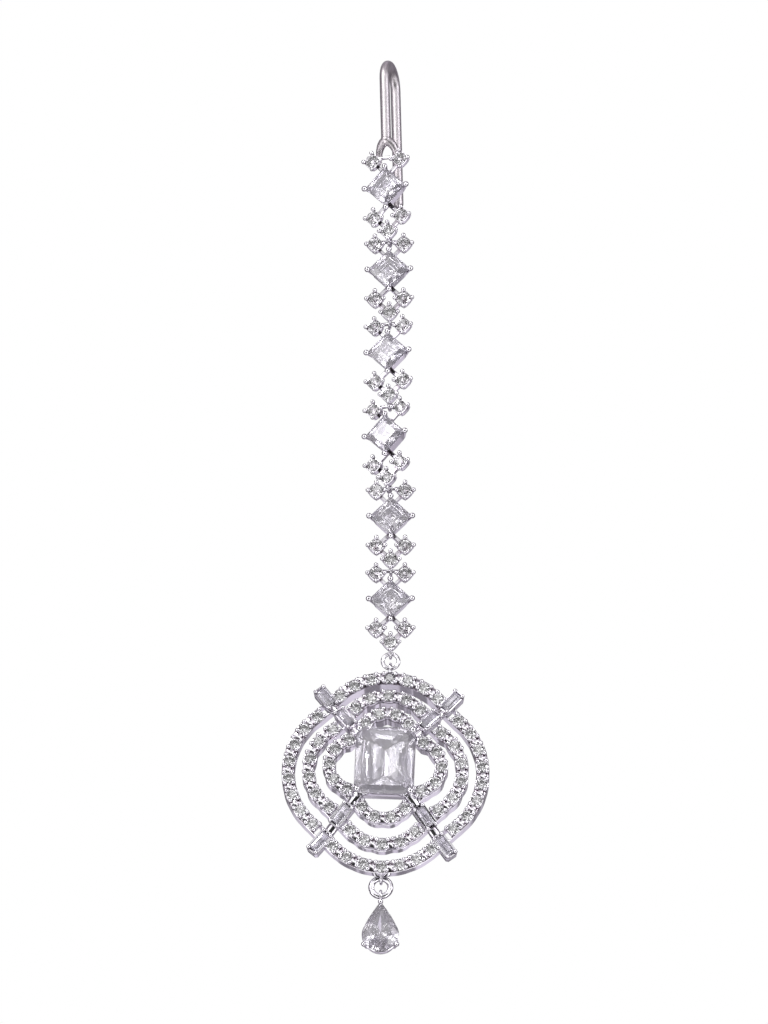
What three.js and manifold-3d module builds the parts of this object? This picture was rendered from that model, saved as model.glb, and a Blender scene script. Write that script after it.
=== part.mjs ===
// A maang tikka: a hair hook cast with the first of six jewelled links, a jump ring,
// a pierced oval pendant of three tiers with a large centre stone, and a pear drop.
// Millimetres, +Z up, +X to the wearer's left, the jewelled face towards -Y.
// The origin is the inside top of the hook's bend, where it hangs in the hair.

import * as THREE from "three";
import { ConvexGeometry } from "three/addons/geometries/ConvexGeometry.js";
import { mergeVertices } from "three/addons/utils/BufferGeometryUtils.js";
import Module from "manifold-3d";

const wasm = await Module();
wasm.setup();

// Small round stones and the seats that hold them
const roundDiameter = 2.0;
const roundCrown = 0.35;
const seatWall = 0.2;
const seatDepth = 1.5;
const smallProng = 0.42;
const smallProngRise = 0.32;
const seatTaper = 0.72; // a seat's back, as a share of its front
const seatCornerShare = 1.25; // a seat's corner, as a share of its round radius
const roundTable = 0.58; // a round stone's table, as a share of its girdle

// Princess-cut stone at the middle of each link
const princessSide = 5.0;
const princessRise = 0.75;
const princessCrown = 0.6;
const princessPavilion = 1.9;
const basketWall = 0.45;
const basketTaper = 0.85; // the basket's back, as a share of its front
const girdleHalf = 0.08; // half the thickness of a loose stone's edge
const tableShare = 0.64; // a loose stone's table, as a share of its girdle
const breakShare = 0.88; // the break in a stepped crown, as a share of the girdle
const breakRise = 0.6; // the height of that break, as a share of the crown

// Prongs at the corners of the large stones, and the play left round every loose stone
const cornerProngRadius = 0.36;
const cornerProngRise = 0.45;
const stoneGap = 0.12;
const cornerBlunt = 0.9; // how far prongs blunt a square corner, as a share of their radius
const princessProngFoot = 0.8; // a prong's foot, as a share of its tip's reach
const centreProngFoot = 0.94;
const pearProngFoot = 0.85;

// A link's layout, measured from the middle of its princess stone
const pairSpread = 4.8;
const pairOffset = 5.0;
const singleDrop = 7.5;
const railWidth = 0.9;
const diamondWall = 1.17; // from the diamond's corners to its opening's
const railDepth = 0.8;
const seatBack = 0.4;

// The loop under each link and the bar across the top of the next one
const loopInner = 0.6;
const loopWire = 0.25;
const barRadius = 0.3;
const barRise = 0.72; // from the pair's middle up to the bar
const hangGap = 0.12;
const lowerLoopPlay = 0.18; // between the lower jump ring's wire and the loops on it

// The hair hook
const hookWire = 1.7;
const hookGap = 5.1;
const hookFrontLength = 11.5;
const hookBackLength = 20.0;
const flareRadius = 0.6;
const flareHeight = 3.0;

// Jump rings
const upperRingOuter = 3.3;
const upperRingWire = 0.66;
const lowerRingOuter = 4.2;
const lowerRingWire = 1.0;

// The pendant, measured from its middle to the outermost round stones
const pendantRise = 17.0;
const pendantReach = 16.2;
const pendantLean = 2.4;
const pendantSetBack = 0.6;
const bandWidth = 2.3;
const bandDepth = 2.0;
const ringToRim = 0.35;
const stapleInset = 0.1; // the staple's middle, in from the rim

// The centre stone and its raised basket
const centreWidth = 10.0;
const centreHeight = 12.0;
const centreCorner = 1.4;
const centreLift = 5.1;
const centreCrown = 1.2;
const centrePavilion = 3.6;
const centreWall = 0.6;
const centreBasketDepth = 2.6;

// The four arms and their baguettes
const armAngle = 51.2;
const armShare = 0.795; // an arm's reach, as a share of the outer corner's
const armWidth = 2.3;
const beamShare = 0.8; // a beam's width, as a share of the arm's
const baguetteLength = 3.6;
const baguetteWidth = 1.7;
const baguetteCrown = 0.35;
const baguettePavilion = 0.7;
const baguetteCut = 0.1;
const baguetteKeel = 0.36; // half the keel's length, as a share of the stone's
const baguetteProngRise = 0.1;
const baguetteSeatDepth = 2.0;
const armDepth = 1.1;

// The pear drop
const pearWidth = 6.0;
const pearHeight = 9.0;
const pearCrown = 0.8;
const pearPavilion = 1.7;
const pearWall = 0.5;
const pearDepth = 2.3;
const pearProngAngle = 34;
const pearLean = -2.0;
const pearTipHalf = 0.25; // half the width of its blunt point
const pearRim = 0.15; // how far the wall stands out past the stone
const pearKeelRise = 0.2;
const pearProngDrop = 0.6; // the depth of the prongs' feet, as a share of the wall's

// Facet counts
const wireSides = 6;
const ringSegments = 14;
const loopSides = 5;
const loopSegments = 10;
const roundSides = 8;
const arcSteps = 5;
const pearSteps = 12;

const degree = Math.PI / 180;
const mergeDistance = 1e-4;
const bite = 0.2; // how far one cast piece is sunk into the next, so that they join

const roundRadius = roundDiameter / 2;
const seatRadius = roundRadius + seatWall;
const seatCorner = seatRadius * seatCornerShare;
const roundGirdle = seatBack - seatDepth; // y of a link's round stones
const princessGirdle = roundGirdle - princessRise;
const princessReach = princessSide / Math.SQRT2; // middle to corner
const hookRadius = hookWire / 2;
const hookBend = (hookGap + hookWire) / 2;

// How far below the middle of a link its loop hangs, and how far above it its bar lies
const loopDrop = singleDrop + seatRadius + loopInner - bite;
const barOffset = pairOffset + barRise;
const barDrop = loopDrop + loopInner - barRadius - hangGap;
const linkPitch = barDrop + barOffset;

// One row for each link: its turn about the vertical in degrees, and its sideways play
const links = [
  { turn: -15, shift: 0 },
  { turn: -3, shift: 0 },
  { turn: -10, shift: 0 },
  { turn: -20, shift: -0.15 },
  { turn: 0, shift: 0.2 },
  { turn: 0, shift: 0.15 },
];

// One row for each tier of the pendant, outermost first. Apexes and arc radii are shares of
// the pendant's rise (top) or reach (side), halfAngle is half of an arc in degrees, and lift
// is a share of the centre stone's lift.
const tiers = [
  {
    top: { apex: 1.0, radius: 0.67, halfAngle: 46, stones: 7 },
    side: { apex: 1.0, radius: 0.787, halfAngle: 49.3, stones: 8 },
    lift: 0,
  },
  {
    top: { apex: 0.785, radius: 0.435, halfAngle: 46.8, stones: 5 },
    side: { apex: 0.79, radius: 0.513, halfAngle: 56.5, stones: 6 },
    lift: 0.22,
  },
  {
    top: { apex: 0.556, radius: 0.25, halfAngle: 56.5, stones: 4 },
    side: { apex: 0.576, radius: 0.285, halfAngle: 71.7, stones: 5 },
    lift: 0.59,
  },
];

// One row for each baguette of an arm: its distance from the pendant's middle as a share of
// the arm's reach, its lift as a share of the centre stone's, and its outward tilt in degrees
const armReach = Math.hypot(pendantRise, pendantReach) * armShare;
const baguettes = [
  { name: "inner", along: 0.599, lift: 0.42, tilt: 15 },
  { name: "outer", along: 0.891, lift: 0.06, tilt: 7 },
];

const metal = () => new THREE.MeshStandardMaterial({ color: 0xc9c6d2, roughness: 0.18, metalness: 1 });
const stone = () => new THREE.MeshStandardMaterial({ color: 0xdedbee, roughness: 0.05, metalness: 0 });

// A three.js geometry as a solid that can be joined and cut
function toSolid(geometry) {
  const bare = geometry.clone();
  bare.deleteAttribute("normal");
  bare.deleteAttribute("uv");
  const merged = mergeVertices(bare, mergeDistance);
  const corners = merged.index.array;
  const kept = [];
  for (let i = 0; i < corners.length; i += 3) {
    const [a, b, c] = [corners[i], corners[i + 1], corners[i + 2]];
    if (a !== b && b !== c && c !== a) kept.push(a, b, c);
  }
  return new wasm.Manifold(new wasm.Mesh({
    numProp: 3,
    vertProperties: Float32Array.from(merged.attributes.position.array),
    triVerts: Uint32Array.from(kept),
  }));
}

function joined(geometries) {
  return geometries.map(toSolid).reduce((whole, piece) => whole.add(piece));
}

function toMesh(name, solid, material) {
  const mesh = solid.getMesh();
  const geometry = new THREE.BufferGeometry();
  geometry.setAttribute("position", new THREE.BufferAttribute(mesh.vertProperties, 3));
  geometry.setIndex(new THREE.BufferAttribute(mesh.triVerts, 1));
  geometry.computeVertexNormals();
  const result = new THREE.Mesh(geometry, material);
  result.name = name;
  return result;
}

// A straight round rod between two points, which may taper
function rod(from, to, fromRadius, toRadius = fromRadius, sides = wireSides) {
  const [a, b] = [new THREE.Vector3(...from), new THREE.Vector3(...to)];
  const along = b.clone().sub(a);
  const geometry = new THREE.CylinderGeometry(toRadius, fromRadius, along.length(), sides);
  const turn = new THREE.Quaternion().setFromUnitVectors(
    new THREE.Vector3(0, 1, 0), along.clone().normalize());
  geometry.applyQuaternion(turn);
  const middle = a.add(b).multiplyScalar(0.5);
  return geometry.translate(middle.x, middle.y, middle.z);
}

// A square post that stands from the depth back to the depth front
function post(x, z, back, front, size) {
  return new THREE.BoxGeometry(size, back - front, size).translate(x, (back + front) / 2, z);
}

// A ring of round wire seen from its side: its hole runs along X
function sideLoop(inner, wire, y, z) {
  const geometry = new THREE.TorusGeometry(inner + wire, wire, loopSides, loopSegments);
  return geometry.rotateY(Math.PI / 2).translate(0, y, z);
}

// A ring of round wire seen face-on: its hole runs along Y
function faceRing(outer, wire) {
  const radius = (outer - wire) / 2;
  const geometry = new THREE.TorusGeometry(radius, wire / 2, wireSides, ringSegments);
  return geometry.rotateX(Math.PI / 2);
}

// A flat outline drawn in X and Z, given thickness from the depth back to the depth front
function slab(shape, back, front, curveSegments) {
  const options = { depth: back - front, bevelEnabled: false, curveSegments };
  return new THREE.ExtrudeGeometry(shape, options).rotateX(Math.PI / 2).translate(0, back, 0);
}

// A round stone set flush in its seat, of which only the crown and table stand out
function flushRound(x, z, girdle) {
  const table = roundTable * roundRadius;
  const geometry = new THREE.CylinderGeometry(
    table, roundRadius, bite + roundCrown, roundSides);
  return geometry.rotateX(Math.PI).translate(x, girdle + (bite - roundCrown) / 2, z);
}

// A faceted stone from its girdle outline: the table, the crown, a thin girdle and the
// pavilion down to a keel or point, with a break in the crown where steps is 2
function cutStone(outline, crown, pavilion, keel, grow = 0, steps = 1) {
  const reach = Math.max(...outline.map(([x, z]) => Math.hypot(x, z)));
  const swell = 1 + grow / reach;
  const rings = [
    { share: tableShare, y: -crown - grow },
    { share: 1.0, y: -girdleHalf - grow },
    { share: 1.0, y: girdleHalf + grow },
  ];
  if (steps === 2) rings.push({ share: breakShare, y: -breakRise * crown - grow });
  const points = [];
  for (const { share, y } of rings) {
    for (const [x, z] of outline) {
      points.push(new THREE.Vector3(x * share * swell, y, z * share * swell));
    }
  }
  points.push(new THREE.Vector3(keel.x, pavilion + grow, keel.z));
  points.push(new THREE.Vector3(-keel.x, pavilion + grow, -keel.z));
  return new ConvexGeometry(points);
}

// A rectangle with cut corners, centred
function cutRectangle(width, height, cut) {
  const [x, z] = [width / 2, height / 2];
  return [
    [x, z - cut], [x - cut, z], [cut - x, z], [-x, z - cut],
    [-x, cut - z], [cut - x, -z], [x - cut, -z], [x, cut - z],
  ];
}

function shapeOf(outline) {
  return new THREE.Shape(outline.map(([x, z]) => new THREE.Vector2(x, z)));
}

// The princess stone's outline stands on its corner, which its prongs blunt
const princessCut = cornerBlunt * cornerProngRadius + stoneGap;

function princessStone(grow = 0) {
  const stoneShape = cutStone(
    cutRectangle(princessSide, princessSide, princessCut),
    princessCrown, princessPavilion, { x: 0, z: 0 }, grow);
  return stoneShape.rotateY(Math.PI / 4).translate(0, princessGirdle, 0);
}

// The open square basket under the princess stone, flared to the girdle
function princessBasket() {
  const front = princessGirdle + girdleHalf + stoneGap;
  const depth = seatBack - front;
  const backReach = basketTaper * princessReach;
  const outer = new THREE.CylinderGeometry(princessReach, backReach, depth, 4);
  const wall = basketWall * Math.SQRT2;
  const inner = new THREE.CylinderGeometry(
    princessReach - wall, backReach - wall, depth + 2 * bite, 4);
  const toFront = (geometry) => geometry.rotateX(Math.PI).translate(0, (front + seatBack) / 2, 0);
  return { outer: toFront(outer), inner: toFront(inner) };
}

// The four blunt prongs at the corners of the princess stone
function princessProngs() {
  const corner = princessReach - princessCut / Math.SQRT2;
  const reach = corner + stoneGap + cornerProngRadius;
  const [back, front] = [seatBack - 0.5 * seatDepth, princessGirdle - cornerProngRise];
  return [[1, 0], [0, 1], [-1, 0], [0, -1]].map(([x, z]) => rod(
    [princessProngFoot * reach * x, back, princessProngFoot * reach * z],
    [reach * x, front, reach * z], cornerProngRadius));
}

// One round stone of a link in its flared seat, whose four corners are its prongs
function linkRound(x, z) {
  const seat = new THREE.CylinderGeometry(seatTaper * seatCorner, seatCorner, seatDepth, 4);
  seat.translate(x, seatBack - seatDepth / 2, z);
  return [seat, flushRound(x, z, roundGirdle)];
}

// The flat cast gallery behind the stones, one outline above and one below the princess
function gallery() {
  const side = pairSpread / 2;
  const foot = basketTaper * princessReach - railWidth;
  const upper = shapeOf([
    [0, foot], [side + railWidth / 2, pairOffset], [side, pairOffset + railWidth / 2],
    [0, foot + railWidth], [-side, pairOffset + railWidth / 2], [-side - railWidth / 2, pairOffset],
  ]);
  const [tall, wide] = [(singleDrop - foot) / 2, side + railWidth / 2];
  const middle = (singleDrop + foot) / 2;
  const diamond = (x, z) => [[x, -middle], [0, z - middle], [-x, -middle], [0, -z - middle]];
  const lower = shapeOf(diamond(wide, tall));
  lower.holes.push(new THREE.Path(
    diamond(wide - diamondWall, tall - diamondWall)
      .map(([x, z]) => new THREE.Vector2(x, z))));
  return [upper, lower].map((shape) => slab(shape, seatBack, seatBack - railDepth, 1));
}

// One link about the middle of its princess stone, its hanging line at y = 0
function linkSolid(topPieces) {
  const side = pairSpread / 2;
  const pieces = [];
  for (const x of [-side, side]) {
    pieces.push(...linkRound(x, pairOffset), ...linkRound(x, -pairOffset));
  }
  pieces.push(...linkRound(0, -singleDrop), ...gallery());
  pieces.push(sideLoop(loopInner, loopWire, 0, -loopDrop));
  const basket = princessBasket();
  return joined([basket.outer, ...pieces])
    .subtract(toSolid(basket.inner))
    .add(joined([...princessProngs(), ...topPieces]))
    .subtract(toSolid(princessStone(stoneGap)));
}

function hangingBar() {
  const side = pairSpread / 2;
  return rod([-side, 0, barOffset], [side, 0, barOffset], barRadius);
}

// The hook's centre line: up the front leg, round the bend and down the back leg
class HookLine extends THREE.Curve {
  getPoint(t, target = new THREE.Vector3()) {
    const bendLength = Math.PI * hookBend;
    const along = t * (hookFrontLength + bendLength + hookBackLength);
    const bendZ = hookRadius - hookBend;
    if (along < hookFrontLength) {
      return target.set(0, -hookBend, bendZ - hookFrontLength + along);
    }
    if (along > hookFrontLength + bendLength) {
      return target.set(0, hookBend, bendZ - (along - hookFrontLength - bendLength));
    }
    const angle = (along - hookFrontLength) / hookBend;
    return target.set(0, -hookBend * Math.cos(angle), bendZ + hookBend * Math.sin(angle));
  }
}

// Where the first link's middle lies in the hook's own frame
const firstLink = {
  y: -hookBend - roundGirdle / 2,
  z: hookRadius - hookBend - hookFrontLength - flareHeight - pairOffset,
};

// The hook, its flare into the first link, and that link, cast as one
function hookLink() {
  const section = new THREE.Shape().absarc(0, 0, hookRadius, 0, 2 * Math.PI);
  const hook = new THREE.ExtrudeGeometry(section, {
    extrudePath: new HookLine(), steps: 32, curveSegments: 4, bevelEnabled: false });
  const tip = new THREE.SphereGeometry(hookRadius, 8, 6).rotateX(Math.PI / 2);
  tip.translate(0, hookBend, hookRadius - hookBend - hookBackLength);
  const legEnd = hookRadius - hookBend - hookFrontLength;
  const flare = [-1, 1].map((side) => rod(
    [0, -hookBend, legEnd + flareRadius],
    [side * pairSpread / 2, firstLink.y, firstLink.z + pairOffset],
    hookRadius, flareRadius, roundSides));
  const link = linkSolid([hangingBar()]).translate([0, firstLink.y, firstLink.z]);
  return joined([hook, tip, ...flare]).add(link);
}

// The middle line of one arc of a tier, as stone centres and the arc's own circle
function tierArc(arc, size) {
  const radius = arc.radius * size;
  const middle = arc.apex * size - radius;
  const angles = [];
  for (let i = 0; i < arc.stones; i += 1) {
    angles.push((2 * i / (arc.stones - 1) - 1) * arc.halfAngle * degree);
  }
  return { radius, middle, angles, half: arc.halfAngle * degree };
}

// The closed outline of a tier, moved outwards from the stones' middle line by grow
function tierOutline(tier, grow) {
  const top = tierArc(tier.top, pendantRise);
  const side = tierArc(tier.side, pendantReach);
  const path = new THREE.Path();
  const quarter = Math.PI / 2;
  path.absarc(side.middle, 0, side.radius + grow, -side.half, side.half);
  path.absarc(0, top.middle, top.radius + grow, quarter - top.half, quarter + top.half);
  path.absarc(-side.middle, 0, side.radius + grow, Math.PI - side.half, Math.PI + side.half);
  path.absarc(0, -top.middle, top.radius + grow, -quarter - top.half, -quarter + top.half);
  path.closePath();
  return path;
}

// Every place along a tier: the four arcs in turn, each angle's point and its outward way
function tierPlaces(tier, anglesOf) {
  const places = [];
  for (const [arc, turn] of [
    [tierArc(tier.side, pendantReach), 0],
    [tierArc(tier.top, pendantRise), 90],
    [tierArc(tier.side, pendantReach), 180],
    [tierArc(tier.top, pendantRise), 270],
  ]) {
    for (const angle of anglesOf(arc.angles)) {
      const way = turn * degree + angle;
      const out = [Math.cos(way), Math.sin(way)];
      places.push({
        out,
        x: arc.middle * Math.cos(turn * degree) + arc.radius * out[0],
        z: arc.middle * Math.sin(turn * degree) + arc.radius * out[1],
      });
    }
  }
  return places;
}

// Halfway between neighbouring stones
function betweenStones(angles) {
  return angles.slice(1).map((angle, i) => (angle + angles[i]) / 2);
}

// One tier: a pierced band with its round stones and a bar of bead prongs at each gap
function tierPieces(tier) {
  const girdle = -tier.lift * centreLift;
  const outline = new THREE.Shape(tierOutline(tier, bandWidth / 2).getPoints(arcSteps));
  outline.holes.push(new THREE.Path(tierOutline(tier, -bandWidth / 2).getPoints(arcSteps)));
  const pieces = [slab(outline, girdle + bandDepth, girdle, 1)];
  for (const { x, z } of tierPlaces(tier, (angles) => angles)) {
    pieces.push(flushRound(x, z, girdle));
  }
  for (const { x, z, out } of tierPlaces(tier, betweenStones)) {
    const bar = post(0, 0, girdle + bite, girdle - smallProngRise, smallProng);
    bar.scale((bandWidth - smallProng / 2) / smallProng, 1, 1);
    pieces.push(bar.rotateY(-Math.atan2(out[1], out[0])).translate(x, 0, z));
  }
  return pieces;
}

// The centre stone's outline and the raised wall that carries it
const centreOutline = cutRectangle(centreWidth, centreHeight, centreCorner);

function centreStone(grow = 0) {
  const keel = { x: 0, z: (centreHeight - centreWidth) / 2 };
  return cutStone(centreOutline, centreCrown, centrePavilion, keel, grow, 2)
    .translate(0, -centreLift, 0);
}

function centreBasket() {
  const front = girdleHalf + stoneGap - centreLift;
  const wall = shapeOf(cutRectangle(centreWidth, centreHeight, centreCorner));
  const inner = [centreWidth - 2 * centreWall, centreHeight - 2 * centreWall];
  wall.holes.push(new THREE.Path(
    cutRectangle(...inner, centreCorner).map(([x, z]) => new THREE.Vector2(x, z))));
  return slab(wall, front + centreBasketDepth, front, 1);
}

function centreProngs() {
  const reach = (stoneGap + cornerProngRadius) / Math.SQRT2;
  const x = (centreWidth - centreCorner) / 2 + reach;
  const z = (centreHeight - centreCorner) / 2 + reach;
  const back = centreBasketDepth - centreLift;
  return [[x, z], [-x, z], [-x, -z], [x, -z]].map(([px, pz]) => rod(
    [centreProngFoot * px, back, centreProngFoot * pz],
    [px, -centreLift - cornerProngRise, pz], cornerProngRadius));
}

// A baguette in its arm's frame, with X outwards from the pendant's middle
function baguetteStone(place, grow = 0) {
  const outline = cutRectangle(baguetteLength, baguetteWidth, baguetteCut);
  const keel = { x: baguetteKeel * baguetteLength, z: 0 };
  const geometry = cutStone(outline, baguetteCrown, baguettePavilion, keel, grow);
  geometry.rotateZ(place.tilt * degree);
  return geometry.translate(place.along * armReach, -place.lift * centreLift, 0);
}

// An arm in its own frame: two tilted seats, the prongs at their ends, and the foot that
// runs in under the centre stone's basket
function armPieces() {
  const pieces = [];
  const seatLength = baguetteLength + 2 * (stoneGap + smallProng);
  for (const place of baguettes) {
    const seat = new THREE.BoxGeometry(seatLength, baguetteSeatDepth, armWidth);
    seat.translate(0, baguetteSeatDepth / 2, 0);
    const end = (seatLength - smallProng) / 2;
    const front = -baguetteCrown - baguetteProngRise;
    const prongs = [end, -end].map((x) => post(0, 0, bite, front, smallProng)
      .scale(1, 1, baguetteWidth / smallProng).translate(x, 0, 0));
    for (const piece of [seat, ...prongs]) {
      piece.rotateZ(place.tilt * degree);
      pieces.push(piece.translate(place.along * armReach, -place.lift * centreLift, 0));
    }
  }
  const [innerSeat, outerSeat] = baguettes;
  const spans = [
    { from: Math.hypot(centreWidth, centreHeight) / 2 - centreCorner,
      fromY: centreBasketDepth - centreLift - armDepth / 2 + bite,
      to: innerSeat.along * armReach, toY: armDepth - innerSeat.lift * centreLift },
    { from: innerSeat.along * armReach, fromY: armDepth - innerSeat.lift * centreLift,
      to: outerSeat.along * armReach, toY: armDepth - outerSeat.lift * centreLift },
  ];
  for (const { from, fromY, to, toY } of spans) {
    const length = Math.hypot(to - from, toY - fromY);
    const beam = new THREE.BoxGeometry(length, armDepth, beamShare * armWidth);
    beam.rotateZ(Math.atan2(toY - fromY, to - from));
    pieces.push(beam.translate((from + to) / 2, (fromY + toY) / 2, 0));
  }
  return pieces;
}

// The four arms point to the pendant's corners
const arms = [
  { name: "upper_right", turn: armAngle },
  { name: "upper_left", turn: 180 - armAngle },
  { name: "lower_left", turn: 180 + armAngle },
  { name: "lower_right", turn: -armAngle },
];

// Depths of the pendant: its stones' girdle plane, from the hanging line
const pendantPlane = pendantSetBack - bandDepth / 2;
const rimTop = pendantRise + bandWidth / 2;

// The upper jump ring hangs in the strip's last loop, and the pendant's bail hangs on it.
// hangPlay is how far the middle of the wire lies from the middle of either hole.
const upperRingRadius = (upperRingOuter - upperRingWire) / 2;
const hangPlay = loopInner - upperRingWire / 2 - hangGap;
const bailRise = upperRingWire / 2 + ringToRim - hangPlay; // bail's middle above the rim

function pendantBail() {
  const loop = sideLoop(loopInner, loopWire, -pendantPlane, rimTop + bailRise);
  const foot = post(0, rimTop - bandWidth / 4, bandDepth - bite, bite, 4 * loopWire);
  return [loop, foot];
}

// The staple behind the pendant's lowest stone, and the lower jump ring that hangs in it
const lowerRingRadius = (lowerRingOuter - lowerRingWire) / 2;
const lowerLoopInner = lowerRingWire / 2 + lowerLoopPlay;
const lowerHang = lowerLoopPlay - hangGap; // between the wire's middle and the hole's
const stapleY = bandDepth + hangGap + lowerRingWire / 2;
const stapleDrop = rimTop - stapleInset;

function pendantStaple() {
  return sideLoop(lowerLoopInner, loopWire, stapleY, -stapleDrop);
}

function pendantFrame() {
  const pieces = tiers.flatMap(tierPieces);
  pieces.push(centreBasket(), ...centreProngs(), ...pendantBail(), pendantStaple());
  for (const { turn } of arms) {
    pieces.push(...armPieces().map((piece) => piece.rotateY(-turn * degree)));
  }
  let frame = joined(pieces).subtract(toSolid(centreStone(stoneGap)));
  for (const { turn } of arms) {
    for (const place of baguettes) {
      const seat = baguetteStone(place, stoneGap).rotateY(-turn * degree);
      frame = frame.subtract(toSolid(seat));
    }
  }
  return frame;
}

// The pear's outline: a round foot and two flanks that meet in a blunt point at the top
function pearOutline(grow = 0) {
  const radius = pearWidth / 2 + grow;
  const tip = pearHeight - pearWidth / 2 + grow;
  const touch = Math.asin(radius / tip);
  const points = [];
  for (let i = 0; i <= pearSteps; i += 1) {
    const angle = Math.PI - touch + (i / pearSteps) * (Math.PI + 2 * touch);
    points.push([radius * Math.cos(angle), radius * Math.sin(angle)]);
  }
  points.push([pearTipHalf, tip - 2 * pearTipHalf], [-pearTipHalf, tip - 2 * pearTipHalf]);
  return points;
}

const pearGirdle = -0.5 * pearDepth;

function pearStone(grow = 0) {
  return cutStone(pearOutline(), pearCrown, pearPavilion, { x: 0, z: pearKeelRise }, grow)
    .translate(0, pearGirdle, 0);
}

// The drop's loop on the lower jump ring, above the middle of its round foot
const pearTip = pearHeight - pearWidth / 2;
const pearLoopRise = pearTip + pearWall + lowerLoopInner;

function pearSetting() {
  const front = pearGirdle + girdleHalf + stoneGap;
  const wall = shapeOf(pearOutline(pearRim));
  wall.holes.push(new THREE.Path(
    pearOutline(-pearWall).map(([x, z]) => new THREE.Vector2(x, z))));
  const back = front + pearProngDrop * pearDepth;
  const rise = pearGirdle - cornerProngRise;
  const reach = pearWidth / 2 + stoneGap + cornerProngRadius;
  const foot = pearProngFoot * reach;
  const [x, z] = [Math.cos(pearProngAngle * degree), -Math.sin(pearProngAngle * degree)];
  const lower = [-x, x].map((way) => rod(
    [way * foot, back, z * foot], [way * reach, rise, z * reach], cornerProngRadius));
  const topZ = pearTip - 2 * pearTipHalf + stoneGap + cornerProngRadius;
  const top = rod([0, back, topZ], [0, rise, topZ], cornerProngRadius);
  const loop = sideLoop(lowerLoopInner, loopWire, 0, pearLoopRise);
  return joined([slab(wall, front + pearDepth, front, 1), ...lower, top, loop])
    .subtract(toSolid(pearStone(stoneGap)));
}

// Assembly: the strip hangs plumb below the hook, which leans until it balances
const root = new THREE.Group();
root.name = "maang_tikka";

const loopFromHook = { y: firstLink.y, z: firstLink.z - loopDrop };
const hookLean = Math.atan2(-loopFromHook.y, -loopFromHook.z);
const hookTurn = new THREE.Group();
hookTurn.rotation.z = links[0].turn * degree;
const hookTilt = new THREE.Group();
hookTilt.rotation.x = hookLean;
hookTurn.add(hookTilt);
root.add(hookTurn);
hookTilt.add(toMesh("hook_link", hookLink(), metal()));
const firstStone = toMesh("princess_stone_1", toSolid(princessStone()), stone());
firstStone.position.set(0, firstLink.y, firstLink.z);
hookTilt.add(firstStone);

let loopZ = -Math.hypot(loopFromHook.y, loopFromHook.z);
for (const [index, { turn, shift }] of links.entries()) {
  if (index === 0) continue;
  const number = index + 1;
  const link = new THREE.Group();
  link.position.set(shift, 0, loopZ + loopDrop - linkPitch);
  link.rotation.z = turn * degree;
  link.add(toMesh(`link_${number}`, linkSolid([hangingBar()]), metal()));
  link.add(toMesh(`princess_stone_${number}`, toSolid(princessStone()), stone()));
  root.add(link);
  loopZ = link.position.z - loopDrop;
}

const ringGroup = new THREE.Group();
const ringZ = loopZ - hangPlay - upperRingRadius;
ringGroup.position.set(links[links.length - 1].shift, 0, ringZ);
ringGroup.add(toMesh("upper_jump_ring", toSolid(faceRing(upperRingOuter, upperRingWire)), metal()));
root.add(ringGroup);

const pendant = new THREE.Group();
pendant.rotation.y = pendantLean * degree;
ringGroup.add(pendant);
const body = new THREE.Group();
body.position.set(0, pendantPlane, -upperRingRadius - hangPlay - bailRise - rimTop);
pendant.add(body);
body.add(toMesh("pendant_frame", pendantFrame(), metal()));
body.add(toMesh("centre_stone", toSolid(centreStone()), stone()));
for (const { name, turn } of arms) {
  for (const place of baguettes) {
    const shape = baguetteStone(place).rotateY(-turn * degree);
    body.add(toMesh(`baguette_${name}_${place.name}`, toSolid(shape), stone()));
  }
}

const drop = new THREE.Group();
drop.position.set(0, stapleY, -stapleDrop - lowerHang - lowerRingRadius);
body.add(drop);
drop.add(toMesh("lower_jump_ring", toSolid(faceRing(lowerRingOuter, lowerRingWire)), metal()));
const pear = new THREE.Group();
pear.rotation.y = pearLean * degree;
const pearBody = new THREE.Group();
pearBody.position.set(0, 0, -lowerRingRadius - lowerHang - pearLoopRise);
pear.add(pearBody);
drop.add(pear);
pearBody.add(toMesh("pear_setting", pearSetting(), metal()));
pearBody.add(toMesh("pear_stone", toSolid(pearStone()), stone()));

export default root;
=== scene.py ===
import math
import random
from collections import namedtuple

import bmesh
import bpy
from mathutils import Matrix, Vector


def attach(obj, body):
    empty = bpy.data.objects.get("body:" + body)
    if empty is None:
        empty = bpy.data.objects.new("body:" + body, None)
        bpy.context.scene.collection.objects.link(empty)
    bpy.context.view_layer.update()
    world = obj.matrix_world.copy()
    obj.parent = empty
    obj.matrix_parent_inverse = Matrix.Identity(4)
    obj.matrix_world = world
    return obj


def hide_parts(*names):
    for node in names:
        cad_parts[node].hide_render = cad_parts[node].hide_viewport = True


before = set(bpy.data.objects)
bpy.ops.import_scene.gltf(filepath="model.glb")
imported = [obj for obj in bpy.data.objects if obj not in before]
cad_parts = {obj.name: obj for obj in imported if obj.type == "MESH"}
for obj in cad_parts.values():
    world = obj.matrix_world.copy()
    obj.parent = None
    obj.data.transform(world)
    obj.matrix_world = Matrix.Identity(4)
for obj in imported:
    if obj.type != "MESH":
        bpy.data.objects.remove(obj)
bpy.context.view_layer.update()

# Lengths are millimetres in the part's own frame: +Z up, the jewelled face towards -Y.
MM = 0.001

# Round stones and their prongs
ROUND_RADIUS = 1.0
ROUND_CROWN = 0.36
ROUND_PAVILION = 0.86
SEAT_HALF = 1.2
SEAT_DEPTH = 1.5
LINK_PRONG_AT = 1.44
LINK_PRONG_HEAD = 0.38
LINK_PRONG_WIRE = 0.2
LINK_ROUND_GROWTH = 1.12
TIER_PRONG_ALONG = 0.95
TIER_PRONG_OUT = 0.72
TIER_PRONG_HEAD = 0.38
TIER_PRONG_WIRE = 0.22

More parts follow.
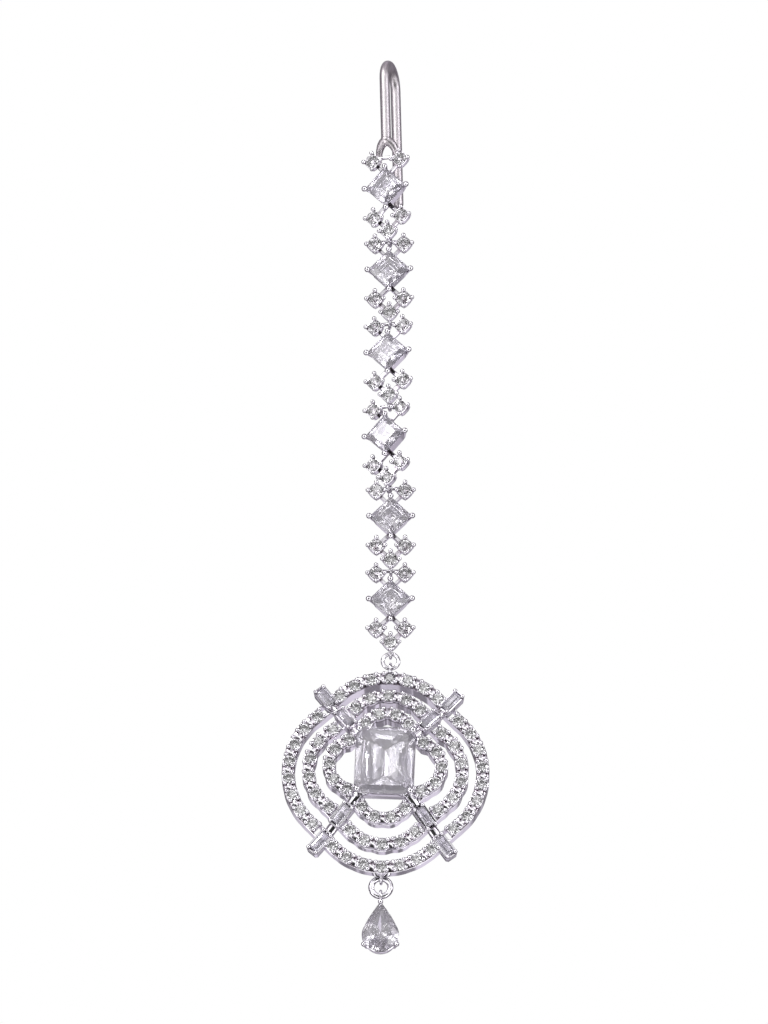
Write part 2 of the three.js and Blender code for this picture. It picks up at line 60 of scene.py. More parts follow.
# Princess stones
PRINCESS_SIDE = 5.0
PRINCESS_CROWN = 0.6
PRINCESS_PAVILION = 2.15
PRINCESS_CUT = 0.444
PRINCESS_PRONG_AT = 3.74
PRINCESS_PRONG_HEAD = 0.49
PRINCESS_PRONG_WIRE = 0.33
BASKET_WALL = 0.42
SEAT_BACK = 0.4
ROUND_GIRDLE = SEAT_BACK - SEAT_DEPTH
PRINCESS_GIRDLE = ROUND_GIRDLE - 0.75

# A link's layout, from the middle of its princess stone
PAIR_SIDE = 2.4
PAIR_OFFSET = 5.0
SINGLE_DROP = 7.5
LOOP_INNER = 0.6
LOOP_WIRE = 0.25
BAR_RADIUS = 0.3
LOOP_DROP = 9.1
BAR_OFFSET = 5.72
LINK_PITCH = 15.0
GALLERY_HALF_DEPTH = 0.36

# Each link's turn in degrees and its shift to the side
LINKS = [(-15, 0), (-3, 0), (-10, 0), (-20, -0.15), (0, 0.2), (0, 0.15)]

# The hair hook
HOOK_RADIUS = 0.84
HOOK_BEND = 3.37
HOOK_BEND_Z = -2.55
HOOK_FRONT = 11.5
HOOK_BACK = 20.0
FLARE_RADIUS = 0.52
FLARE_REACH = 0.66 * PAIR_SIDE
FLARE_SETBACK = 0.85
FIRST_LINK_Y = -2.85
FIRST_LINK_Z = -22.05

# Jump rings
UPPER_RING_RADIUS = 1.32
UPPER_WIRE = 0.33
HANG_PLAY = 0.15
LOWER_RING_RADIUS = 1.6
LOWER_WIRE = 0.5
LOWER_LOOP_INNER = 0.68
LOWER_HANG = 0.06

# The pendant
PENDANT_RISE = 17.0
PENDANT_REACH = 16.2
PENDANT_LEAN = 2.4
PENDANT_PLANE = -0.4
BAND_HALF = 1.15
BAND_DEPTH = 2.0
RIM_TOP = PENDANT_RISE + BAND_HALF
BAIL_RISE = 0.53
STAPLE_Y = 2.62
STAPLE_DROP = RIM_TOP - 0.1
TIER_SEAT_HALF = 1.1
TIER_WALL_OUT = 1.12
TIER_WALL_IN = 0.82
BRIDGE_WIDTH = 1.72
BRIDGE_LENGTH = 1.5
BRIDGE_FRONT = 0.1
BRIDGE_BACK = 1.5

# Each tier: its name, its top and bottom arcs, its side arcs, and its lift as a share of
# the centre stone's. An arc is its apex and radius as shares of the pendant's size, half
# its angle in degrees, and its number of stones.
TIERS = [
    ("outer", (1.0, 0.67, 46, 7), (1.0, 0.787, 49.3, 8), 0.0),
    ("middle", (0.785, 0.435, 46.8, 5), (0.79, 0.513, 56.5, 6), 0.22),
    ("inner", (0.556, 0.25, 56.5, 4), (0.576, 0.285, 71.7, 5), 0.59),
]

# The centre stone
CENTRE_WIDTH = 10.0
CENTRE_HEIGHT = 12.0
CENTRE_CORNER = 1.4
CENTRE_LIFT = 5.1
CENTRE_CROWN = 1.2
CENTRE_PAVILION = 4.25
CENTRE_SPLINTERS = 54
CENTRE_DEPTH = 2.6
CENTRE_PRONG_HEAD = 0.56
CENTRE_PRONG_WIRE = 0.36

# The arms
ARM_ANGLE = 51.2
ARM_WIDTH = 2.3
ARM_REACH = math.hypot(PENDANT_RISE, PENDANT_REACH) * 0.795
ARM_DEPTH = 1.1
ARM_PRONG_HEAD = 0.36
ARM_PRONG_WIRE = 0.24
TRAY_LENGTH_SPARE = 1.08
BEAM_WIDTH = 1.8
BAGUETTE_LENGTH = 3.6
BAGUETTE_WIDTH = 1.7
BAGUETTE_CROWN = 0.35
BAGUETTE_PAVILION = 0.7

# Each baguette of an arm: its name, its place as a share of the arm's reach, its lift as
# a share of the centre stone's, and its tilt in degrees
BAGUETTES = [("inner", 0.599, 0.42, 15), ("outer", 0.891, 0.06, 7)]

# Each arm: its name and its angle from +X in degrees
ARMS = [
    ("upper_right", ARM_ANGLE), ("upper_left", 180 - ARM_ANGLE),
    ("lower_left", 180 + ARM_ANGLE), ("lower_right", -ARM_ANGLE),
]

# The pear drop
PEAR_LEAN = -2.0
PEAR_RADIUS = 3.0
PEAR_TIP = 6.0
PEAR_TIP_HALF = 0.25
PEAR_CROWN = 0.8
PEAR_PAVILION = 2.45
PEAR_GIRDLE = -1.15
PEAR_DEPTH = 2.3
PEAR_LOOP_RISE = 7.18
PEAR_PRONG_ANGLE = 34
PEAR_PRONG_HEAD = 0.46
PEAR_PRONG_WIRE = 0.32
PEAR_TIP_PRONG_HEAD = 0.44
PEAR_TIP_PRONG_WIRE = 0.34

# The four ways up, down and sideways, and the four corners between them
QUARTERS = [Vector((math.cos(k * math.pi / 2), 0, math.sin(k * math.pi / 2))) for k in range(4)]
CORNERS = [(x, z) for x in (-1, 1) for z in (-1, 1)]

# Below this a radius counts as a point
POINT_RADIUS = 1e-6

draws = random.Random(20)


def shift(x=0.0, y=0.0, z=0.0):
    return Matrix.Translation((x, y, z))


def turn(degrees, axis):
    return Matrix.Rotation(math.radians(degrees), 4, axis)


# Shapes are pairs: a list of points and a list of faces


def moved(shape, place):
    points, faces = shape
    return [place @ point for point in points], faces


def gathered(shapes):
    points, faces = [], []
    for more_points, more_faces in shapes:
        first = len(points)
        points += more_points
        faces += [[first + corner for corner in face] for face in more_faces]
    return points, faces


def loft(rings, closed=False):
    """Rings of points joined in turn. A ring of one point is a pole, and open ends are capped."""
    points, faces, starts = [], [], []
    for ring in rings:
        starts.append(len(points))
        points += ring
    pairs = list(zip(range(len(rings)), range(1, len(rings))))
    if closed:
        pairs.append((len(rings) - 1, 0))
    for one, two in pairs:
        a, b, m, n = starts[one], starts[two], len(rings[one]), len(rings[two])
        for i in range(max(m, n)):
            j = (i + 1) % max(m, n)
            if m == 1:
                faces.append([a, b + i, b + j])
            elif n == 1:
                faces.append([a + i, b, a + j])
            else:
                faces.append([a + i, b + i, b + j, a + j])
    if not closed:
        for k in (0, len(rings) - 1):
            if len(rings[k]) > 2:
                faces.append([starts[k] + i for i in range(len(rings[k]))])
    return points, faces


def level(outline, y):
    return [Vector((x, y, z)) for x, z in outline]


def circle(radius, count, power=2.0, spin=0.0):
    """Points round a circle, which a power above 2 makes squarer."""
    found = []
    for i in range(count):
        angle = 2 * math.pi * i / count
        c, s = math.cos(angle), math.sin(angle)
        reach = radius / (abs(c) ** power + abs(s) ** power) ** (1 / power)
        spun = angle + math.radians(spin)
        found.append((reach * math.cos(spun), reach * math.sin(spun)))
    return found


def rectangle(width, height, cut):
    x, z = width / 2, height / 2
    return [
        (x, z - cut), (x - cut, z), (cut - x, z), (-x, z - cut),
        (-x, cut - z), (cut - x, -z), (x - cut, -z), (x, cut - z),
    ]


def slab(outline, front, back, chamfer=0.05):
    """A plate with softened edges, where outline(grow) gives its rim."""
    return loft([
        level(outline(-chamfer), front), level(outline(0), front + chamfer),
        level(outline(0), back - chamfer), level(outline(-chamfer), back),
    ])


def hoop(outline, profile):
    """A closed wall round an opening, from (grow, depth) pairs that go round its section."""
    return loft([level(outline(grow), y) for grow, y in profile], closed=True)


def round_section(middle, across, other, radius, sides):
    """A ring of points round the middle of a wire, or one point where the wire ends in one."""
    if radius < POINT_RADIUS:
        return [middle]
    ring = []
    for i in range(sides):
        angle = 2 * math.pi * i / sides
        ring.append(middle + (across * math.cos(angle) + other * math.sin(angle)) * radius)
    return ring


def path_ways(path, closed):
    """The direction of a path at each of its points."""
    count = len(path)
    ways = []
    for i in range(count):
        if closed:
            way = path[(i + 1) % count] - path[i - 1]
        else:
            way = path[min(i + 1, count - 1)] - path[max(i - 1, 0)]
        ways.append(way.normalized())
    return ways


def lathe(start, way, profile, sides=12):
    """A round solid about the line from start along way, from (distance, radius) pairs."""
    start, axis = Vector(start), Vector(way).normalized()
    across = axis.orthogonal().normalized()
    other = axis.cross(across)
    return loft([round_section(start + axis * distance, across, other, radius, sides)
                 for distance, radius in profile])


def prong(foot, tip, shank, head, sides=12, steps=6):
    """A wire with a bead at its end, whose middle is at tip."""
    foot, tip = Vector(foot), Vector(tip)
    length = (tip - foot).length
    low = -math.acos(shank / head)
    profile = [(0, 0.9 * shank)]
    for i in range(steps + 1):
        angle = low + (math.pi / 2 - low) * i / steps
        radius = head * math.cos(angle) if i < steps else 0
        profile.append((length + head * math.sin(angle), radius))
    return lathe(foot, tip - foot, profile, sides)


def tube(path, radii, sides=16, closed=False):
    """Round wire along a path, with one radius for each of its points."""
    path = [Vector(point) for point in path]
    across, rings = None, []
    for point, radius, way in zip(path, radii, path_ways(path, closed)):
        across = way.orthogonal() if across is None else across - way * across.dot(way)
        across.normalize()
        rings.append(round_section(point, across, way.cross(across), radius, sides))
    return loft(rings, closed)


def wire_ring(radius, wire, count=40, sides=14, axis="Y", seam=None):
    """A ring of round wire about an axis, cut through at the angle seam if one is given."""
    path, seam_gap, seam_end = [], 0.05, 0.93
    open_angle = 0.0 if seam is None else seam_gap / radius
    first = 0.0 if seam is None else math.radians(seam) + open_angle / 2
    span = 2 * math.pi - open_angle
    steps = count if seam is None else count - 1
    for i in range(count):
        angle = first + span * i / steps
        c, s = radius * math.cos(angle), radius * math.sin(angle)
        path.append((c, 0, s) if axis == "Y" else (0, c, s))
    radii = [wire] * count
    if seam is not None:
        radii[0] = radii[-1] = seam_end * wire
    return tube(path, radii, sides, closed=seam is None)


def rail(path, half_width, half_depth, closed=False):
    """A bar of rounded rectangular section through (x, y, z) points of one upright plane."""
    path = [Vector(point) for point in path]
    soft = 0.3 * min(half_width, half_depth)
    section = [
        (half_width, half_depth - soft), (half_width - soft, half_depth),
        (soft - half_width, half_depth), (-half_width, half_depth - soft),
        (-half_width, soft - half_depth), (soft - half_width, -half_depth),
        (half_width - soft, -half_depth), (half_width, soft - half_depth),
    ]
    rings = []
    for point, way in zip(path, path_ways(path, closed)):
        out = Vector((0, 1, 0)).cross(way).normalized()
        deep = way.cross(out)
        rings.append([point + out * u + deep * v for u, v in section])
    return loft(rings, closed)


def hull(points):
    """The faceted solid round a set of points, with its nearly flat edges dissolved."""
    flat_angle = math.radians(0.5)
    work = bmesh.new()
    for point in points:
        work.verts.new(point)
    result = bmesh.ops.convex_hull(work, input=work.verts)
    inside = {g for g in result["geom_interior"] + result["geom_unused"]
              if isinstance(g, bmesh.types.BMVert)}
    bmesh.ops.delete(work, geom=list(inside), context="VERTS")
    bmesh.ops.dissolve_limit(
        work, angle_limit=flat_angle, verts=work.verts, edges=work.edges)
    work.verts.index_update()
    found = ([v.co.copy() for v in work.verts], [[v.index for v in f.verts] for f in work.faces])
    work.free()
    return found


# Gem cuts, with the table towards -Y and the girdle at y = 0


def round_gem():
    """A round brilliant: table, stars, kites, halves and pavilion mains."""
    r, crown, deep = ROUND_RADIUS, ROUND_CROWN, ROUND_PAVILION
    table, star, lower, girdle = 0.52, 0.77, 0.3, 0.03
    half_step = math.cos(math.pi / 8)
    points = [Vector((0, deep, 0))]
    for k in range(8):
        main, mid = k * math.pi / 4, (k + 0.5) * math.pi / 4
        rows = [
            (main, table, -crown),
            (mid, star, -crown * (1 - star * half_step) / (1 - table)),
            (mid, lower, deep * (1 - lower * half_step)),
        ]
        rows += [(angle, 1.0, y) for angle in (main, mid) for y in (-girdle, girdle)]
        points += [Vector((share * r * math.cos(a), y, share * r * math.sin(a)))
                   for a, share, y in rows]
    return hull(points)


def princess_gem():
    """A square stone on its corner, with chevron facets below."""
    a, girdle = PRINCESS_SIDE / 2, 0.07
    points = [Vector((0, PRINCESS_PAVILION, 0))]
    for y in (-girdle, girdle):
        points += level(rectangle(2 * a, 2 * a, PRINCESS_CUT), y)
    # Facet corners on the diagonals and square to the sides: share of the half side, depth
    diagonal = [(0.6, -PRINCESS_CROWN), (0.8, -0.29), (0.62, 0.94), (0.42, 1.4), (0.2, 1.84)]
    straight = [(0.86, -0.27), (0.74, 0.72), (0.46, 1.36), (0.22, 1.82)]
    for k in range(4):
        spin = Matrix.Rotation(k * math.pi / 2, 4, "Y")
        points += [spin @ Vector((t * a, y, t * a)) for t, y in diagonal]
        points += [spin @ Vector((t * a, y, 0)) for t, y in straight]
    return moved(hull(points), turn(45, "Y"))


def along_rim(rim, t):
    """The point a share t of the way round a closed outline."""
    lengths = [math.dist(rim[i], rim[(i + 1) % len(rim)]) for i in range(len(rim))]
    left = (t % 1) * sum(lengths)
    for i, length in enumerate(lengths):
        if left <= length:
            a, b, s = rim[i], rim[(i + 1) % len(rim)], left / length
            return a[0] + (b[0] - a[0]) * s, a[1] + (b[1] - a[1]) * s
        left -= length
    return rim[0]


def depth_at(slope, share):
    """The depth at a share of the half size, between (share, depth) marks that go inwards."""
    for (s0, y0), (s1, y1) in zip(slope, slope[1:]):
        if share >= s1:
            return y1 + (y0 - y1) * (share - s1) / (s0 - s1)
    return slope[-1][1]


def centre_gem():
    """A large rectangular stone with cut corners: a brilliant crown over long shards."""
    w, h, cut = CENTRE_WIDTH, CENTRE_HEIGHT, CENTRE_CORNER
    girdle, crown_middle, table_cut = 0.08, -0.62, 0.9
    points = []
    for y in (-girdle, girdle):
        points += level(rectangle(w, h, cut), y)
    a, b = w / 2, h / 2
    points += level(rectangle(0.76 * w, 0.82 * h, table_cut), -CENTRE_CROWN)
    for x, z in [(0.91, 0.52), (0.91, 0.0), (0.5, 0.935), (0.0, 0.935), (0.87, 0.89)]:
        points += [Vector((s * x * a, crown_middle, t * z * b)) for s, t in CORNERS]
    # Rows of the pavilion: share of the half width, depth, places along the half height
    sides = [
        (0.88, 0.72, [-0.8, -0.52, -0.2, 0.12, 0.45, 0.74]),
        (0.7, 1.52, [-0.7, -0.4, -0.06, 0.26, 0.6]),
        (0.52, 2.28, [-0.62, -0.3, 0.02, 0.34, 0.62]),
        (0.36, 2.92, [-0.58, -0.12, 0.2, 0.56]),
        (0.22, 3.45, [-0.5, 0.06, 0.48]),
        (0.1, 3.89, [-0.44, 0.42]),
        (0.0, CENTRE_PAVILION, [-0.38, 0.38]),
    ]
    for share, y, spots in sides:
        for spot in spots:
            lean = draws.uniform(-0.03, 0.03)
            bulge = 1 - 0.1 * spot * spot
            points += [Vector((side * share * a * bulge, y, (spot + side * lean) * b))
                       for side in (-1, 1)]
    # The same towards the ends: share of the half height, depth, places along the half width
    ends = [(0.92, 0.62, [-0.66, -0.2, 0.25, 0.7]), (0.82, 1.36, [-0.4, 0.05, 0.46]),
            (0.7, 2.2, [-0.3, 0.26]), (0.57, 3.05, [-0.12, 0.14])]
    for share, y, spots in ends:
        for spot in spots:
            points += [Vector((spot * a, y, side * share * b)) for side in (-1, 1)]
    side_slope = [(1.0, girdle)] + [row[:2] for row in sides]
    end_slope = [(1.0, girdle)] + [row[:2] for row in ends] + [(0.38, CENTRE_PAVILION)]
    # Splinters stand a hair proud of the lower half, which breaks its facets up
    for _ in range(CENTRE_SPLINTERS):
        x, z = draws.uniform(-0.9, 0.9), draws.uniform(-0.95, 0.1)
        deep = min(depth_at(side_slope, abs(x)), depth_at(end_slope, abs(z)))
        points.append(Vector((x * a, deep + draws.uniform(0.04, 0.1), z * b)))
    return hull(points)


def baguette_gem():
    """A long step-cut stone, its length along X."""
    points = []
    # Steps from the table down: shares of the length and the width, depth
    for length, width, y in [
        (0.7, 0.34, -BAGUETTE_CROWN), (0.82, 0.62, -0.29), (0.92, 0.83, -0.19),
        (1, 1, -0.05), (1, 1, 0.05), (0.9, 0.76, 0.3), (0.8, 0.48, 0.5), (0.7, 0.22, 0.62),
    ]:
        points += level(
            rectangle(length * BAGUETTE_LENGTH, width * BAGUETTE_WIDTH, 0.08 * width), y)
    keel = 0.3 * BAGUETTE_LENGTH
    points += [Vector((side * keel, BAGUETTE_PAVILION, 0)) for side in (-1, 1)]
    return hull(points)


def pear_rim(grow=0.0, count=28):
    """The pear's outline: a round foot and two flanks up to a blunt point."""
    radius, tip = PEAR_RADIUS + grow, PEAR_TIP + grow
    touch = math.asin(radius / tip)
    rim = []
    for i in range(count + 1):
        angle = math.pi - touch + i / count * (math.pi + 2 * touch)
        rim.append((radius * math.cos(angle), radius * math.sin(angle)))
    top = tip - 2 * PEAR_TIP_HALF
    right = rim[-1]
    for i in (1, 2, 3):
        s = i / 4
        bulge = 0.16 * math.sin(math.pi * s)
        rim.append((right[0] + (PEAR_TIP_HALF - right[0]) * s + bulge,
                    right[1] + (top - right[1]) * s))
    rim += [(PEAR_TIP_HALF, top), (-PEAR_TIP_HALF, top)]
    rim += [(-x, z) for x, z in reversed(rim[count + 1:count + 4])]
    return rim


def pear_gem():
    """A pear brilliant, whose rings of facets shrink towards a point above its foot."""
    rim, middle, keel_z, girdle, rim_points = pear_rim(), 0.7, 0.5, 0.07, 48

    def spot(share, t, y):
        x, z = along_rim(rim, t)
        return Vector((x * share, y, middle + (z - middle) * share))

    points = [Vector((0, PEAR_PAVILION, keel_z))]
    for i in range(rim_points):
        points += [spot(1.0, i / rim_points, y) for y in (-girdle, girdle)]
    # Rings: share of the outline, depth, number of points, and the first one's step
    for share, y, count, step in [
        (0.56, -PEAR_CROWN, 10, 0), (0.8, -0.5, 10, 0.5),
        (0.84, 0.5, 16, 0), (0.6, 1.24, 16, 0.5), (0.32, 1.92, 8, 0),
    ]:
        points += [spot(share, (i + step) / count, y) for i in range(count)]
    return hull(points)


# Materials. Noise scales are repeats to the metre


class Nodes:
    """Short names for a material's node tree."""

    def __init__(self, tree):
        self.tree = tree
        self.tree.nodes.clear()

    def add(self, kind, inputs=(), **settings):
        node = self.tree.nodes.new(kind)
        for name, value in settings.items():
            setattr(node, name, value)
        for name, value in dict(inputs).items():
            if isinstance(value, bpy.types.NodeSocket):
                self.tree.links.new(value, node.inputs[name])
            else:
                node.inputs[name].default_value = value
        return node

    def noise(self, where, scale, detail=2.0, roughness=0.5):
        node = self.add("ShaderNodeTexNoise", {
            "Vector": where, "Scale": scale, "Detail": detail, "Roughness": roughness})
        return node.outputs["Fac"]

    def ramp(self, factor, stops):
        node = self.add("ShaderNodeValToRGB", {"Fac": factor})
        marks = node.color_ramp.elements
        while len(marks) < len(stops):
            marks.new(0.5)
        for mark, (place, colour) in zip(marks, stops):
            mark.position = place
            mark.color = (*colour, 1)
        return node.outputs["Color"]

    def between(self, value, low, high, from_low=0.0, from_high=1.0):
        node = self.add("ShaderNodeMapRange", {
            "Value": value, "From Min": from_low, "From Max": from_high,
            "To Min": low, "To Max": high})
        return node.outputs["Result"]


def metal_material(name, roughness, bump, painted_shade_to_surface):
    """Bright rhodium plate: cool white, a little uneven, with painted shade darkening its crevices.
    """
    material = bpy.data.materials.new(name)
    material.use_nodes = True
    n = Nodes(material.node_tree)
    where = n.add("ShaderNodeTexCoord").outputs["Object"]
    # Ambient occlusion paints shade into the crevices. A random uneven tone is added to it, and the
    # ramp runs from that painted shade to the open surface.
    crevice_shade = n.add("ShaderNodeAmbientOcclusion", {"Distance": 1.1 * MM}, samples=8, only_local=True)
    stain = n.noise(where, 2600, 3)
    shade_and_stain = n.add("ShaderNodeMath", {0: crevice_shade.outputs["AO"], 1: n.between(stain, -0.12, 0.12)},
                  operation="ADD")
    colour = n.ramp(shade_and_stain.outputs[0], list(zip((0.12, 0.4, 0.66, 0.9), painted_shade_to_surface)))
    soft = n.between(n.noise(where, 900, 4), *roughness)
    fine = n.noise(where, 5200, 4, 0.6)
    broad = n.noise(where, 700, 2)
    height = n.add("ShaderNodeMath", {0: fine, 1: broad}, operation="ADD")
    bumped = n.add("ShaderNodeBump", {
        "Strength": bump, "Distance": 0.02 * MM, "Height": height.outputs[0]})
    shader = n.add("ShaderNodeBsdfPrincipled", {
        "Base Color": colour, "Metallic": 1.0, "Roughness": soft,
        "Normal": bumped.outputs["Normal"]})
    out = n.add("ShaderNodeOutputMaterial")
    material.node_tree.links.new(shader.outputs[0], out.inputs["Surface"])
    return material


def stone_material(name, pale, deep, clear):
    """Cut cubic zirconia: clear, with a faint cloud of colour inside."""
    material = bpy.data.materials.new(name)
    material.use_nodes = True
    n = Nodes(material.node_tree)
    where = n.add("ShaderNodeTexCoord").outputs["Object"]
    cloud = n.noise(where, 520, 3, 0.6)
    colour = n.ramp(cloud, [(0.35, pale), (0.65, deep)])
    soft = n.between(n.noise(where, 1600, 2), 0.0, 0.012)
    shader = n.add("ShaderNodeBsdfPrincipled", {
        "Base Color": colour, "Roughness": soft, "IOR": STONE_IOR, "Transmission Weight": clear})
    out = n.add("ShaderNodeOutputMaterial")
    material.node_tree.links.new(shader.outputs[0], out.inputs["Surface"])
    return material


STONE_IOR = 2.2

# Metal colours, from the painted shade of a deep crevice to the open surface; the worn hook's list
# is also duller all over
PLATE_WITH_PAINTED_SHADE = [(0.06, 0.035, 0.045), (0.3, 0.235, 0.28), (0.64, 0.61, 0.66), (0.84, 0.825, 0.86)]
WORN_WITH_PAINTED_SHADE = [(0.06, 0.035, 0.04), (0.22, 0.17, 0.19), (0.4, 0.355, 0.375), (0.6, 0.565, 0.585)]
cast_metal = metal_material("cast_metal", (0.07, 0.18), 0.25, PLATE_WITH_PAINTED_SHADE)
wire_metal = metal_material("wire_metal", (0.08, 0.2), 0.45, PLATE_WITH_PAINTED_SHADE)
hook_metal = metal_material("hook_metal", (0.34, 0.52), 0.9, WORN_WITH_PAINTED_SHADE)
small_stone = stone_material("small_stone", (1.0, 1.0, 1.0), (0.985, 0.98, 1.0), 0.95)
large_stone = stone_material("large_stone", (0.99, 0.97, 1.0), (0.92, 0.895, 1.0), 0.8)
step_stone = stone_material("step_stone", (0.97, 0.955, 1.0), (0.91, 0.885, 1.0), 0.76)

SHARP_ANGLE = 38


def piece(name, shapes, body, nodes, material, facets=False):
    """One object from its shapes, which stands for CAD nodes and rides on a body."""
    points, faces = gathered(shapes)
    mesh = bpy.data.meshes.new(name)
    mesh.from_pydata([point * MM for point in points], [], faces)
    work = bmesh.new()
    work.from_mesh(mesh)
    bmesh.ops.recalc_face_normals(work, faces=work.faces)
    work.to_mesh(mesh)
    work.free()
    if not facets:
        mesh.shade_smooth()
        mesh.set_sharp_from_angle(angle=math.radians(SHARP_ANGLE))
    mesh.materials.append(material)
    made = bpy.data.objects.new(name, mesh)
    bpy.context.scene.collection.objects.link(made)
    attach(made, body)
    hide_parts(*nodes)


def metal_piece(name, shapes, body, *nodes, material=cast_metal):
    piece(name, shapes, body, nodes, material)


def gem_piece(name, shapes, body, *nodes, material=small_stone):
    piece(name, shapes, body, nodes, material, facets=True)


# Rounds in their seats, about the stone's girdle centre

ROUND = round_gem()
PRINCESS = princess_gem()


def loose_round():
    """A round stone as a setter leaves it, turned at random and tipped by a hair."""
    tip = turn(draws.uniform(-3, 3), "X") @ turn(draws.uniform(-3, 3), "Z")
    return moved(ROUND, tip @ turn(draws.uniform(0, 45), "Y"))


def seat(half, spin, power=4.0, taper=0.88):
    """A four-sided collet with a round bearing inside."""
    count, depth = 24, SEAT_DEPTH

    def ring(radius, y, squareness):
        return level(circle(radius, count, squareness, spin), y)

    return loft([
        ring(half, 0.12, power), ring(0.97 * half, 0.5 * depth, power),
        ring(taper * half, depth - 0.06, power), ring(taper * half - 0.05, depth, power),
        ring(0.5, depth, 2), ring(0.52, depth - 0.3, 2), ring(0.9, 0.22, 2), ring(0.98, 0.04, 2),
        ring(half - 0.05, 0.06, power),
    ], closed=True)


def link_round_seat():
    """A link's round seat, its four beads at the top, bottom and sides."""
    shapes = [seat(SEAT_HALF, 45)]
    for way in QUARTERS:
        foot = way * 0.86 * LINK_PRONG_AT + Vector((0, 0.8 * SEAT_DEPTH, 0))
        tip = way * LINK_PRONG_AT + Vector((0, -0.16, 0))
        shapes.append(prong(foot, tip, LINK_PRONG_WIRE, LINK_PRONG_HEAD))
    return gathered(shapes)


LINK_ROUND_SEAT = link_round_seat()
LINK_ROUNDS = [
    (-PAIR_SIDE, PAIR_OFFSET), (PAIR_SIDE, PAIR_OFFSET),
    (-PAIR_SIDE, -PAIR_OFFSET), (PAIR_SIDE, -PAIR_OFFSET), (0, -SINGLE_DROP),
]


def princess_basket():
    """The open square basket, flared like a bell, and its four large prongs."""
    front, back = PRINCESS_GIRDLE + 0.16, SEAT_BACK
    depth = back - front
    # Half width of the bell and share of its depth, from the front
    outer = [(3.5, 0.0), (3.46, 0.1), (3.34, 0.4), (3.22, 0.75), (3.12, 1.0)]

    def ring(reach, y):
        return level(circle(reach / math.sqrt(2), 32, 9.0, 45), y)

    rings = [ring(reach, front + share * depth) for reach, share in outer]
    rings += [ring(reach - BASKET_WALL, front + share * depth) for reach, share in reversed(outer)]
    shapes = [loft(rings, closed=True)]
    for way in QUARTERS:
        foot = way * 0.72 * PRINCESS_PRONG_AT + Vector((0, SEAT_BACK - 0.3, 0))
        tip = way * (PRINCESS_PRONG_AT - 0.12) + Vector((0, PRINCESS_GIRDLE - 0.12, 0))
        shapes.append(prong(foot, tip, PRINCESS_PRONG_WIRE, PRINCESS_PRONG_HEAD,
                            sides=18, steps=9))
    return shapes


def link_gallery():
    """The rails behind the stones: a chevron above the princess and a diamond below it."""
    y = SEAT_BACK - 0.4
    shapes = [rail([(-2.5, y, 5.1), (0, y, 2.5), (2.5, y, 5.1)], 0.32, GALLERY_HALF_DEPTH)]
    diamond = [(0, y, -2.5), (2.4, y, -4.9), (0, y, -7.2), (-2.4, y, -4.9)]
    dense = []
    for i, point in enumerate(diamond):
        after = diamond[(i + 1) % 4]
        dense += [Vector(point).lerp(Vector(after), s) for s in (0.06, 0.5, 0.94)]
    shapes.append(rail(dense, 0.36, GALLERY_HALF_DEPTH, closed=True))
    return shapes


def link_cast():
    """A link's metal about the middle of its princess stone."""
    shapes = princess_basket() + link_gallery()
    shapes += [moved(LINK_ROUND_SEAT, shift(x, ROUND_GIRDLE, z)) for x, z in LINK_ROUNDS]
    loop = wire_ring(LOOP_INNER + LOOP_WIRE, LOOP_WIRE, 28, 12, axis="X")
    shapes.append(moved(loop, shift(0, 0, -LOOP_DROP)))
    bar = [(-PAIR_SIDE, 0, BAR_OFFSET), (PAIR_SIDE, 0, BAR_OFFSET)]
    shapes.append(tube(bar, [BAR_RADIUS] * 2, 16))
    return gathered(shapes)


LINK_CAST = link_cast()


def link_gems():
    grown = Matrix.Scale(LINK_ROUND_GROWTH, 4)
    return [moved(loose_round(), shift(x, ROUND_GIRDLE, z) @ grown) for x, z in LINK_ROUNDS]


def princess_at(place):
    tip = turn(draws.uniform(-1.5, 1.5), "X") @ turn(draws.uniform(-1.5, 1.5), "Z")
    return moved(PRINCESS, place @ shift(0, PRINCESS_GIRDLE, 0) @ tip)


def hook_wire():
    """The hook: up the front leg, round the bend and down the back leg to a rounded tip."""
    front_steps, bend_steps, back_steps, tip_steps = 9, 32, 14, 7
    path, radii = [], []
    for i in range(front_steps):
        path.append((0, -HOOK_BEND, HOOK_BEND_Z - HOOK_FRONT * (1 - i / front_steps)))
        radii.append(HOOK_RADIUS)
    for i in range(bend_steps + 1):
        angle = math.pi * i / bend_steps
        path.append((0, -HOOK_BEND * math.cos(angle), HOOK_BEND_Z + HOOK_BEND * math.sin(angle)))
        radii.append(HOOK_RADIUS)
    end = HOOK_BEND_Z - HOOK_BACK
    for i in range(1, back_steps + 1):
        path.append((0, HOOK_BEND, HOOK_BEND_Z - HOOK_BACK * i / back_steps))
        radii.append(HOOK_RADIUS)
    for i in range(1, tip_steps + 1):
        angle = math.pi / 2 * i / tip_steps
        path.append((0, HOOK_BEND, end - HOOK_RADIUS * math.sin(angle)))
        radii.append(HOOK_RADIUS * math.cos(angle) if i < tip_steps else 0)
    return tube(path, radii, 24)


def hook_flare():
    """The hook's front leg splits into an inverted V down to the first pair of seats."""
    shapes, steps, overlap = [], 8, 0.5
    top = HOOK_BEND_Z - HOOK_FRONT
    bottom = FIRST_LINK_Z + PAIR_OFFSET
    for side in (-1, 1):
        path, radii = [], []
        for i in range(steps + 1):
            s = i / steps
            ease, bend = s * s * (3 - 2 * s), math.pi / 2 * s
            path.append((side * FLARE_REACH * math.sin(bend),
                         -HOOK_BEND + FLARE_SETBACK * ease,
                         top + overlap + (bottom - top) * (1 - math.cos(bend))))
            radii.append(HOOK_RADIUS * (1 - ease) + FLARE_RADIUS * ease)
        shapes.append(tube(path, radii, 20))
    collar = [(-0.35, 0.86), (-0.2, 0.94), (0.1, 0.95), (0.3, 0.86)]
    shapes.append(lathe((0, -HOOK_BEND, top + 0.7), (0, 0, -1), collar, 24))
    return shapes


